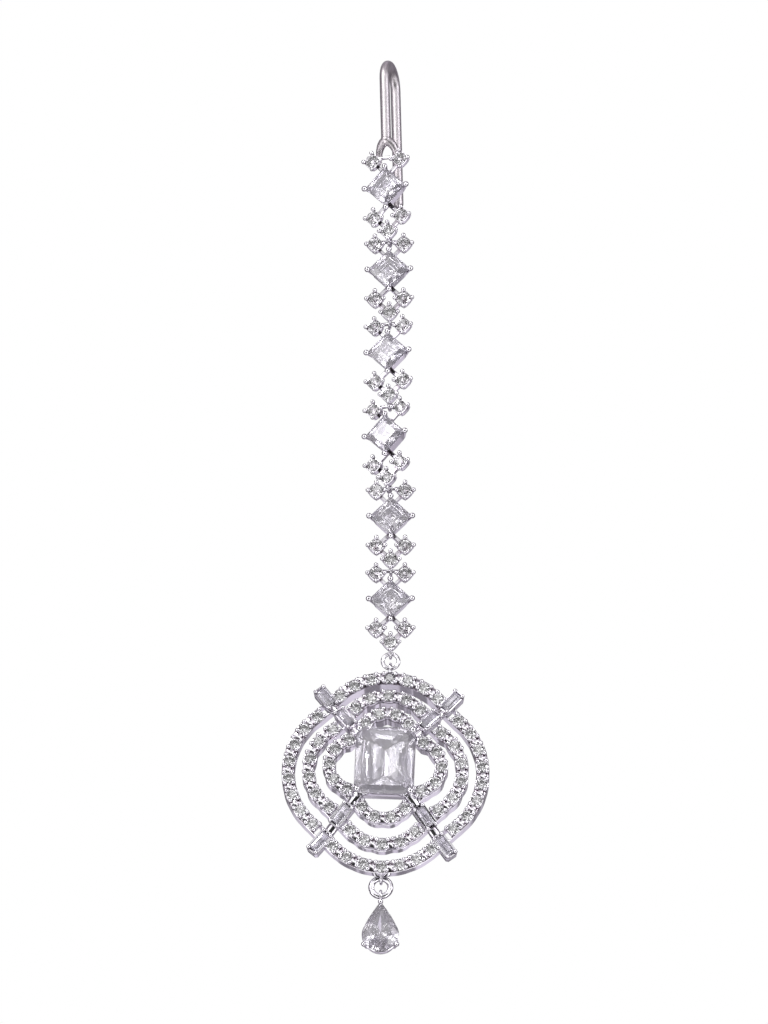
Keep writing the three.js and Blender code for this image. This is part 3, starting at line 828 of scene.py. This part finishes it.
def dress_link(number, place, node):
    """One link's metal, its round stones and its princess stone."""
    metal_piece(f"link_{number}_cast", [moved(LINK_CAST, place)], "strip", node)
    gem_piece(f"link_{number}_rounds", [moved(gem, place) for gem in link_gems()],
              "strip", node)
    gem_piece(f"princess_gem_{number}", [princess_at(place)], "strip",
              f"princess_stone_{number}", material=large_stone)


# Places of the links and the rings, from the hook down
HOOK_PLACE = turn(LINKS[0][0], "Z") @ turn(
    math.degrees(math.atan2(-FIRST_LINK_Y, LOOP_DROP - FIRST_LINK_Z)), "X")
FIRST_PLACE = HOOK_PLACE @ shift(0, FIRST_LINK_Y, FIRST_LINK_Z)
loop_z = -math.hypot(FIRST_LINK_Y, FIRST_LINK_Z - LOOP_DROP)

metal_piece("hook_wire", [moved(shape, HOOK_PLACE) for shape in [hook_wire()] + hook_flare()],
            "strip", "hook_link", material=hook_metal)
dress_link(1, FIRST_PLACE, "hook_link")
for number, (yaw, play) in enumerate(LINKS[1:], 2):
    link_z = loop_z + LOOP_DROP - LINK_PITCH
    dress_link(number, shift(play, 0, link_z) @ turn(yaw, "Z"), f"link_{number}")
    loop_z = link_z - LOOP_DROP

RING_PLACE = shift(LINKS[-1][1], 0, loop_z - HANG_PLAY - UPPER_RING_RADIUS)
metal_piece("upper_ring_wire",
            [moved(wire_ring(UPPER_RING_RADIUS, UPPER_WIRE, 48, 16, seam=20), RING_PLACE)],
            "jump_ring", "upper_jump_ring", material=wire_metal)

PENDANT_PLACE = RING_PLACE @ turn(PENDANT_LEAN, "Y") @ shift(
    0, PENDANT_PLANE, -UPPER_RING_RADIUS - HANG_PLAY - BAIL_RISE - RIM_TOP)


# The pendant's tiers. An arc has its middle's distance, its radius, the way it faces and
# half its angle in degrees, and its number of stones

Arc = namedtuple("Arc", "middle radius way half stones")


def tier_arcs(top, side):
    """A tier's arcs, from its right side round over its top."""
    arcs = []
    for (apex, radius, half, stones), size, way in [
        (side, PENDANT_REACH, 0), (top, PENDANT_RISE, 90),
        (side, PENDANT_REACH, 180), (top, PENDANT_RISE, 270),
    ]:
        arcs.append(Arc((apex - radius) * size, radius * size, way, half, stones))
    return arcs


def tier_spot(arc, share):
    """A point of an arc's middle line, from -1 at its start to 1 at its end, and the way out."""
    base, full = math.radians(arc.way), math.radians(arc.way + arc.half * share)
    out = Vector((math.cos(full), 0, math.sin(full)))
    return Vector((math.cos(base), 0, math.sin(base))) * arc.middle + out * arc.radius, out


def tier_place(point, out, y):
    """A matrix with X outwards, Z along the tier, at a point of its middle line."""
    along = out.cross(Vector((0, 1, 0)))
    rows = Matrix((out, (0, 1, 0), along)).transposed().to_4x4()
    return shift(point.x, y, point.z) @ rows


def tier_seat():
    """One stone's collet with beads at its four corners."""
    shapes = [seat(TIER_SEAT_HALF, 0, power=4.5, taper=0.86)]
    for x, z in CORNERS:
        foot = Vector((x * 0.74, 1.25, z * 0.8))
        tip = Vector((x * TIER_PRONG_OUT, -0.13, z * TIER_PRONG_ALONG))
        shapes.append(prong(foot, tip, TIER_PRONG_WIRE, TIER_PRONG_HEAD))
    return gathered(shapes)


def tier_wall(arcs, girdle, section, notch, extra):
    """A wall all round a tier, from (outwards, depth) pairs that go round its section.

    It draws in by notch between the stones, and goes extra deep behind each arc."""
    rings = []
    for arc, more in zip(arcs, extra):
        steps = 8 * (arc.stones - 1)
        for i in range(steps + 1):
            point, out = tier_spot(arc, 2 * i / steps - 1)
            swell = 1 - notch * math.sin(math.pi * i / 8) ** 4
            rings.append([
                point + out * u * swell + Vector((0, girdle + y + (more if y > 1 else 0), 0))
                for u, y in section])
    return loft(rings, closed=True)


def band_section(front, outer, inner):
    """A tier's outer wall as (outwards, depth) pairs, which mirrored make its inner wall."""
    return [
        (outer, front + 0.06), (outer - 0.02, BAND_DEPTH - 0.06), (outer - 0.08, BAND_DEPTH),
        (inner + 0.05, BAND_DEPTH), (inner, BAND_DEPTH - 0.05), (inner + 0.04, front + 0.03),
        (inner + 0.08, front), (outer - 0.06, front),
    ]


def tier_cast(name, top, side, lift):
    """A tier's two walls, its collets and the bridges between them."""
    girdle = -lift * CENTRE_LIFT
    arcs = tier_arcs(top, side)
    if name == "outer":
        front, notch, extra = 0.3, 0.04, (0.4, 1.3, 0.4, 0)
    else:
        front, notch, extra = 0.85, 0.2, (0.8, 1.3, 0.8, 0.4)
    outer_wall = band_section(front, TIER_WALL_OUT, TIER_WALL_IN)
    inner_wall = [(-u, y) for u, y in outer_wall]
    shapes = [tier_wall(arcs, girdle, section, notch, extra)
              for section in (outer_wall, inner_wall)]

    def bridge_rim(grow):
        return rectangle(BRIDGE_WIDTH + 2 * grow, BRIDGE_LENGTH + 2 * grow, 0.1)

    one_seat, bridge = tier_seat(), slab(bridge_rim, BRIDGE_FRONT, BRIDGE_BACK)
    for arc in arcs:
        for i in range(arc.stones):
            point, out = tier_spot(arc, 2 * i / (arc.stones - 1) - 1)
            shapes.append(moved(one_seat, tier_place(point, out, girdle)))
            if i:
                point, out = tier_spot(arc, (2 * i - 1) / (arc.stones - 1) - 1)
                shapes.append(moved(bridge, tier_place(point, out, girdle)))
    return shapes


def tier_gems(top, side, lift):
    girdle = -lift * CENTRE_LIFT
    gems = []
    for arc in tier_arcs(top, side):
        for i in range(arc.stones):
            point, out = tier_spot(arc, 2 * i / (arc.stones - 1) - 1)
            gems.append(moved(loose_round(), tier_place(point, out, girdle)))
    return gems


for name, top, side, lift in TIERS:
    cast = [moved(shape, PENDANT_PLACE) for shape in tier_cast(name, top, side, lift)]
    metal_piece(f"{name}_tier_cast", cast, "pendant", "pendant_frame")
    gems = [moved(gem, PENDANT_PLACE) for gem in tier_gems(top, side, lift)]
    gem_piece(f"{name}_tier_rounds", gems, "pendant", "pendant_frame")


# The arms


def baguette_setting():
    """A baguette's tray and its four beads, about the middle of the stone."""
    length = BAGUETTE_LENGTH + TRAY_LENGTH_SPARE

    def rim(grow):
        return rectangle(length + 2 * grow, ARM_WIDTH + 2 * grow, 0.34)

    shapes = [hoop(rim, [
        (-0.02, 0.1), (0, 0.4), (-0.03, 1.9), (-0.1, 2.0),
        (-0.72, 2.0), (-0.7, 0.9), (-0.36, 0.16), (-0.3, 0.02), (-0.08, 0.02),
    ])]
    for x, z in CORNERS:
        foot = Vector((x * 1.86, 1.2, z * 0.76))
        tip = Vector((x * 1.92, -0.14, z * 0.79))
        shapes.append(prong(foot, tip, ARM_PRONG_WIRE, ARM_PRONG_HEAD))
    return shapes


def arm_cast():
    """An arm in its own frame, X outwards: two trays, their beads, and the beams behind."""
    shapes, setting = [], baguette_setting()
    for _, along, lift, tilt in BAGUETTES:
        place = shift(along * ARM_REACH, -lift * CENTRE_LIFT, 0) @ turn(tilt, "Z")
        shapes += [moved(shape, place) for shape in setting]
    start = math.hypot(CENTRE_WIDTH, CENTRE_HEIGHT) / 2 - CENTRE_CORNER
    stops = [(start, CENTRE_DEPTH - CENTRE_LIFT - ARM_DEPTH / 2 + 0.2)]
    stops += [(along * ARM_REACH, ARM_DEPTH - lift * CENTRE_LIFT)
              for _, along, lift, _ in BAGUETTES]
    # A beam's levels, which round its front: growth and share of its depth
    beam_levels = [(-0.82, -0.5), (-0.5, -0.42), (-0.2, -0.24), (0, 0.1), (0, 0.4), (-0.12, 0.5)]
    for (x0, y0), (x1, y1) in zip(stops, stops[1:]):
        span, slope = math.hypot(x1 - x0, y1 - y0), math.atan2(y1 - y0, x1 - x0)
        beam = loft([
            level(rectangle(span + 2 * grow, BEAM_WIDTH + 2 * grow, 0.1), y * ARM_DEPTH)
            for grow, y in beam_levels])
        place = shift((x0 + x1) / 2, (y0 + y1) / 2, 0) @ turn(math.degrees(slope), "Z")
        shapes.append(moved(beam, place))
    return gathered(shapes)


ARM_CAST = arm_cast()
BAGUETTE = baguette_gem()
for name, angle in ARMS:
    arm_place = PENDANT_PLACE @ turn(-angle, "Y")
    metal_piece(f"arm_{name}", [moved(ARM_CAST, arm_place)], "pendant", "pendant_frame")
    for which, along, lift, tilt in BAGUETTES:
        place = arm_place @ shift(along * ARM_REACH, -lift * CENTRE_LIFT, 0) @ turn(tilt, "Z")
        gem_piece(f"baguette_gem_{name}_{which}", [moved(BAGUETTE, place)], "pendant",
                  f"baguette_{name}_{which}", material=step_stone)


# The centre stone in its raised basket


def centre_cast():
    """The wall round the centre stone and its four corner prongs."""
    front, prong_out = 0.2 - CENTRE_LIFT, 0.16

    def rim(grow):
        return rectangle(CENTRE_WIDTH + 2 * grow, CENTRE_HEIGHT + 2 * grow, CENTRE_CORNER)

    back = front + CENTRE_DEPTH
    wall = hoop(rim, [
        (-0.04, front + 0.05), (-0.02, front + 0.5), (-0.12, back - 0.1), (-0.2, back),
        (-0.56, back), (-0.62, back - 0.1), (-0.56, front + 0.5), (-0.32, front), (-0.1, front),
    ])
    shapes = [wall]
    corner_x = (CENTRE_WIDTH - CENTRE_CORNER) / 2 + prong_out
    corner_z = (CENTRE_HEIGHT - CENTRE_CORNER) / 2 + prong_out
    for x, z in ((1, 1), (-1, 1), (-1, -1), (1, -1)):
        foot = Vector((0.92 * corner_x * x, back + 0.25, 0.92 * corner_z * z))
        tip = Vector((corner_x * x, -0.5 - CENTRE_LIFT, corner_z * z))
        shapes.append(prong(foot, tip, CENTRE_PRONG_WIRE, CENTRE_PRONG_HEAD,
                            sides=18, steps=9))
    return shapes


metal_piece("centre_basket", [moved(shape, PENDANT_PLACE) for shape in centre_cast()],
            "pendant", "pendant_frame")
gem_piece("centre_gem", [moved(centre_gem(), PENDANT_PLACE @ shift(0, -CENTRE_LIFT, 0))],
          "pendant", "centre_stone", material=large_stone)


# The bail above, the staple below, and the drop


def bail():
    """The loop above the rim and the foot that joins it to the top arc."""
    loop = wire_ring(LOOP_INNER + LOOP_WIRE, 1.15 * LOOP_WIRE, 32, 14, axis="X")
    shapes = [moved(loop, shift(0, -PENDANT_PLANE, RIM_TOP + BAIL_RISE))]
    shapes.append(rail([(0, 0.35, RIM_TOP - 0.9), (0, 0.2, RIM_TOP - 0.1)], 0.5, 0.5))
    return shapes


staple = moved(wire_ring(LOWER_LOOP_INNER + LOOP_WIRE, LOOP_WIRE, 32, 14, axis="X"),
               shift(0, STAPLE_Y, -STAPLE_DROP))
metal_piece("pendant_bail", [moved(shape, PENDANT_PLACE) for shape in bail() + [staple]],
            "pendant", "pendant_frame", material=wire_metal)

DROP_PLACE = PENDANT_PLACE @ shift(
    0, STAPLE_Y, -STAPLE_DROP - LOWER_HANG - LOWER_RING_RADIUS)
metal_piece("lower_ring_wire",
            [moved(wire_ring(LOWER_RING_RADIUS, LOWER_WIRE, 52, 20, seam=200), DROP_PLACE)],
            "pendant", "lower_jump_ring", material=wire_metal)
PEAR_PLACE = DROP_PLACE @ turn(PEAR_LEAN, "Y") @ shift(
    0, 0, -LOWER_RING_RADIUS - LOWER_HANG - PEAR_LOOP_RISE)


def pear_cast():
    """The wall round the pear, its three prongs and its loop."""
    front = PEAR_GIRDLE + 0.2
    wall = hoop(pear_rim, [
        (0.1, front + 0.05), (0.08, front + 0.6), (-0.16, front + 1.6), (-0.34, front + 2.2),
        (-0.42, front + PEAR_DEPTH), (-0.8, front + PEAR_DEPTH), (-0.72, front + 1.8),
        (-0.46, front + 0.6), (-0.26, front + 0.04), (-0.02, front - 0.04),
    ])
    shapes = [wall]
    reach = PEAR_RADIUS + 0.28
    low = math.radians(PEAR_PRONG_ANGLE)
    for side in (-1, 1):
        way = Vector((side * math.cos(low), 0, -math.sin(low)))
        foot = way * 0.84 * reach + Vector((0, front + 1.8, 0))
        tip = way * reach + Vector((0, PEAR_GIRDLE - 0.12, 0))
        shapes.append(prong(foot, tip, PEAR_PRONG_WIRE, PEAR_PRONG_HEAD, sides=18, steps=9))
    top_z = PEAR_TIP - 0.2
    shapes.append(prong((0, front + 1.6, top_z), (0, PEAR_GIRDLE - 0.1, top_z),
                        PEAR_TIP_PRONG_WIRE, PEAR_TIP_PRONG_HEAD, sides=18, steps=9))
    loop = wire_ring(LOWER_LOOP_INNER + LOOP_WIRE, LOOP_WIRE, 32, 14, axis="X")
    shapes.append(moved(loop, shift(0, 0, PEAR_LOOP_RISE)))
    return shapes


metal_piece("pear_cast", [moved(shape, PEAR_PLACE) for shape in pear_cast()],
            "pendant", "pear_setting")
gem_piece("pear_gem", [moved(pear_gem(), PEAR_PLACE @ shift(0, PEAR_GIRDLE, 0))],
          "pendant", "pear_stone", material=large_stone)


# Floor, camera and light, in metres

FLOOR_Z = -3.6
FLOOR_SIZE = 24
bpy.ops.mesh.primitive_plane_add(size=FLOOR_SIZE, location=(0, 0, FLOOR_Z))
floor = bpy.context.object
floor.name = "floor"
paper = bpy.data.materials.new("paper")
paper.use_nodes = True
p = Nodes(paper.node_tree)
grain = p.noise(p.add("ShaderNodeTexCoord").outputs["Object"], 40, 4)
shade = p.ramp(grain, [(0.3, (0.8, 0.8, 0.81)), (0.7, (0.84, 0.84, 0.85))])
matt = p.add("ShaderNodeBsdfPrincipled", {"Base Color": shade, "Roughness": 0.8})
paper.node_tree.links.new(
    matt.outputs[0], p.add("ShaderNodeOutputMaterial").inputs["Surface"])
floor.data.materials.append(paper)
floor.visible_glossy = False
floor.visible_transmission = False

CAMERA_AZIMUTH = 1.0
CAMERA_ELEVATION = -23.0
CAMERA_DISTANCE = 4.5
CAMERA_LENS = 946
CAMERA_SENSOR = 36
CAMERA_TARGET = Vector((-0.95, 0, -80.67)) * MM
azimuth, elevation = math.radians(CAMERA_AZIMUTH), math.radians(CAMERA_ELEVATION)
to_camera = Vector((math.sin(azimuth) * math.cos(elevation),
                    -math.cos(azimuth) * math.cos(elevation), math.sin(elevation)))
lens = bpy.data.cameras.new("camera")
lens.lens = CAMERA_LENS
lens.sensor_width = CAMERA_SENSOR
lens.clip_start = 0.01
camera = bpy.data.objects.new("camera", lens)
camera.location = CAMERA_TARGET + to_camera * CAMERA_DISTANCE
camera.rotation_mode = "QUATERNION"
camera.rotation_quaternion = (-to_camera).to_track_quat("-Z", "Y")
bpy.context.scene.collection.objects.link(camera)
bpy.context.scene.camera = camera


LIGHT_TARGET = Vector((0, 0, -0.08))


def soft_light(name, where, size, power, colour):
    """A round lamp that faces the middle of the jewel and that the camera doesn't see."""
    light = bpy.data.lights.new(name, "AREA")
    light.shape = "DISK"
    light.size = size
    light.energy = power
    light.color = colour
    lamp = bpy.data.objects.new(name, light)
    lamp.location = where
    toward = LIGHT_TARGET - Vector(where)
    lamp.rotation_mode = "QUATERNION"
    lamp.rotation_quaternion = toward.to_track_quat("-Z", "Y")
    lamp.visible_camera = False
    bpy.context.scene.collection.objects.link(lamp)


soft_light("key", (-0.5, -0.75, 0.55), 0.3, 5, (1.0, 0.99, 0.98))
soft_light("fill", (0.75, -0.45, 0.1), 0.25, 1.2, (0.95, 0.95, 1.0))


def studio_world():
    """White paper to the camera; to every other ray a tent with bright and dark parts."""
    world = bpy.data.worlds.new("studio")
    world.use_nodes = True
    bpy.context.scene.world = world
    n = Nodes(world.node_tree)
    toward = n.add("ShaderNodeTexCoord").outputs["Generated"]

    def facing(direction):
        unit = Vector(direction).normalized()
        node = n.add("ShaderNodeVectorMath", {0: toward, 1: tuple(unit)}, operation="DOT_PRODUCT")
        return node.outputs["Value"]

    def patch(direction, inner, outer, value):
        """A soft round patch, in degrees from its middle, worth value inside."""
        node = n.add("ShaderNodeMapRange", {
            "Value": facing(direction),
            "From Min": math.cos(math.radians(outer)), "From Max": math.cos(math.radians(inner)),
            "To Min": 0.0, "To Max": value}, interpolation_type="SMOOTHSTEP")
        return node.outputs["Result"]

    def total(values):
        result = values[0]
        for value in values[1:]:
            result = n.add("ShaderNodeMath", {0: result, 1: value}, operation="ADD").outputs[0]
        return result

    def times(one, two):
        return n.add("ShaderNodeMath", {0: one, 1: two}, operation="MULTIPLY").outputs[0]

    def flag(direction, half_width, soft, dark):
        """A dark stripe along the great circle square to a direction."""
        away = n.add("ShaderNodeMath", {0: facing(direction)}, operation="ABSOLUTE").outputs[0]
        return n.between(away, dark, 1.0, half_width, half_width + soft)

    # From straight behind the jewel, past its sides, to the front and the dark lens
    zones = n.ramp(n.between(facing(to_camera), 0, 1, -1, 1), [
        (0.0, (0.2, 0.188, 0.214)), (0.15, (0.16, 0.148, 0.172)), (0.3, (0.13, 0.12, 0.135)),
        (0.57, (0.1, 0.09, 0.1)), (0.7, (0.6, 0.58, 0.615)), (0.81, (0.97, 0.96, 0.98)),
        (0.905, (1.0, 1.0, 1.0)), (0.935, (0.03, 0.03, 0.03))])
    # Bright patches: direction, inner and outer angle in degrees, strength
    patches = [
        ((0, 0.92, -0.39), 20, 42, 1.5), ((-0.7, -0.6, 0.45), 15, 22, 1.6),
        ((0.85, -0.45, 0.3), 9, 15, 2.2), ((0.15, -0.1, 1), 12, 20, 3.0),
        ((-0.85, -0.35, -0.4), 8, 13, 1.6), ((0.5, -0.5, -0.8), 8, 13, 1.4),
        ((0.75, 0.6, 0.25), 6, 10, 2.0), ((-0.8, 0.6, 0.1), 5, 9, 2.0),
    ]
    # Dark stripes: direction, half width, soft edge, strength inside
    stripes = [
        ((0.82, 0.5, 0.1), 0.02, 0.05, 0.12), ((0.25, 0.45, 0.85), 0.03, 0.07, 0.25),
        ((-0.6, 0.1, 0.8), 0.02, 0.05, 0.3),
    ]
    brighter_above = n.between(facing((0, 0, 1)), 1.15, 1.75, -0.9, 0.9)
    light = total([brighter_above] + [patch(*row) for row in patches])
    flags = flag(*stripes[0])
    for row in stripes[1:]:
        flags = times(flags, flag(*row))
    room = n.add("ShaderNodeMapRange", {
        "Value": n.noise(toward, 3.4, 1.0), "From Min": 0.44, "From Max": 0.52,
        "To Min": 0.5, "To Max": 1.65}).outputs["Result"]
    strength = times(times(light, flags), room)
    tent = n.add("ShaderNodeBackground", {"Color": zones, "Strength": strength})
    paper_white = n.add("ShaderNodeBackground", {"Color": (1, 1, 1, 1), "Strength": 1.0})
    seen = n.add("ShaderNodeLightPath").outputs["Is Camera Ray"]
    mix = n.add("ShaderNodeMixShader", {0: seen, 1: tent.outputs[0], 2: paper_white.outputs[0]})
    out = n.add("ShaderNodeOutputWorld")
    world.node_tree.links.new(mix.outputs[0], out.inputs["Surface"])


studio_world()

scene = bpy.context.scene
scene.view_settings.view_transform = "Standard"
scene.cycles.max_bounces = 20
scene.cycles.transmission_bounces = 16
scene.cycles.glossy_bounces = 6
